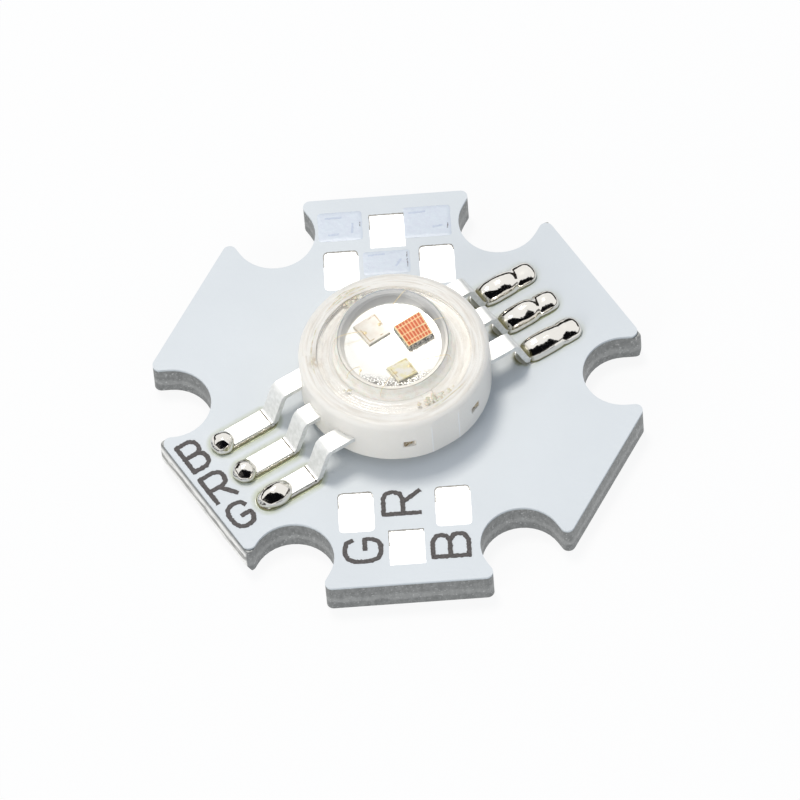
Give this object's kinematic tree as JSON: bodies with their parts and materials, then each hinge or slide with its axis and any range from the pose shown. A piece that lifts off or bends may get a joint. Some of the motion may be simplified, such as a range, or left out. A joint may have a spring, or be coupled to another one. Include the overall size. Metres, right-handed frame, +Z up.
{
  "type": "star board power led",
  "caption": "Colour power LED with a clear domed lens in a white moulded ring, its gull-wing leads soldered to a white star-shaped metal-core circuit board with open screw notches.",
  "frame": {"origin": "centre of the star on the flat underside of its aluminium base", "axes": "+Z up through the lens, -Y towards the flat edge with the near wire pads, +X towards a screw notch; the emitter's lead rows run along a line turned 30 degrees from +X"},
  "size_m": [0.0208, 0.02, 0.0069],
  "materials": {
    "aluminium_base": "rough sawn and snapped edges",
    "insulating_layer": "matte",
    "white_mask": "satin",
    "tinned_copper": "bright tin",
    "thermal_compound": "matte",
    "plated_slug": "silver plated",
    "white_housing": "moulded satin",
    "plated_lead_frame": "silver plated",
    "solder": "bright solder",
    "blue_die": "polished crystal",
    "green_die": "polished crystal",
    "red_die": "polished crystal",
    "die_attach": "silver filled adhesive",
    "gold_wire": "drawn gold",
    "clear_gel": "clear silicone",
    "clear_lens": "clear moulded"
  },
  "bodies": {
    "root": {"base_plate": "aluminium_base", "dielectric_layer": "insulating_layer", "solder_mask": "white_mask", "slug_land": "tinned_copper", "copper_left_back": "tinned_copper", "copper_left_middle": "tinned_copper", "copper_left_front": "tinned_copper", "copper_right_back": "tinned_copper", "copper_right_middle": "tinned_copper", "copper_right_front": "tinned_copper", "thermal_compound": "thermal_compound", "heat_slug": "plated_slug", "housing": "white_housing", "tie_bar_back_left": "plated_lead_frame", "tie_bar_back_right": "plated_lead_frame", "tie_bar_front_left": "plated_lead_frame", "tie_bar_front_right": "plated_lead_frame", "lead_left_back": "plated_lead_frame", "lead_left_middle": "plated_lead_frame", "lead_left_front": "plated_lead_frame", "lead_right_back": "plated_lead_frame", "lead_right_middle": "plated_lead_frame", "lead_right_front": "plated_lead_frame", "solder_left_back": "solder", "solder_left_middle": "solder", "solder_left_front": "solder", "solder_right_back": "solder", "solder_right_middle": "solder", "solder_right_front": "solder", "die_blue": "blue_die", "die_green": "green_die", "die_red": "red_die", "die_attach_blue": "die_attach", "die_attach_green": "die_attach", "die_attach_red": "die_attach", "bond_wire_blue_left": "gold_wire", "bond_wire_blue_right": "gold_wire", "bond_wire_green_left": "gold_wire", "bond_wire_green_right": "gold_wire", "bond_wire_red_top": "gold_wire", "bond_wire_red_floor": "gold_wire", "encapsulant": "clear_gel", "lens": "clear_lens"}
  },
  "joints": []
}
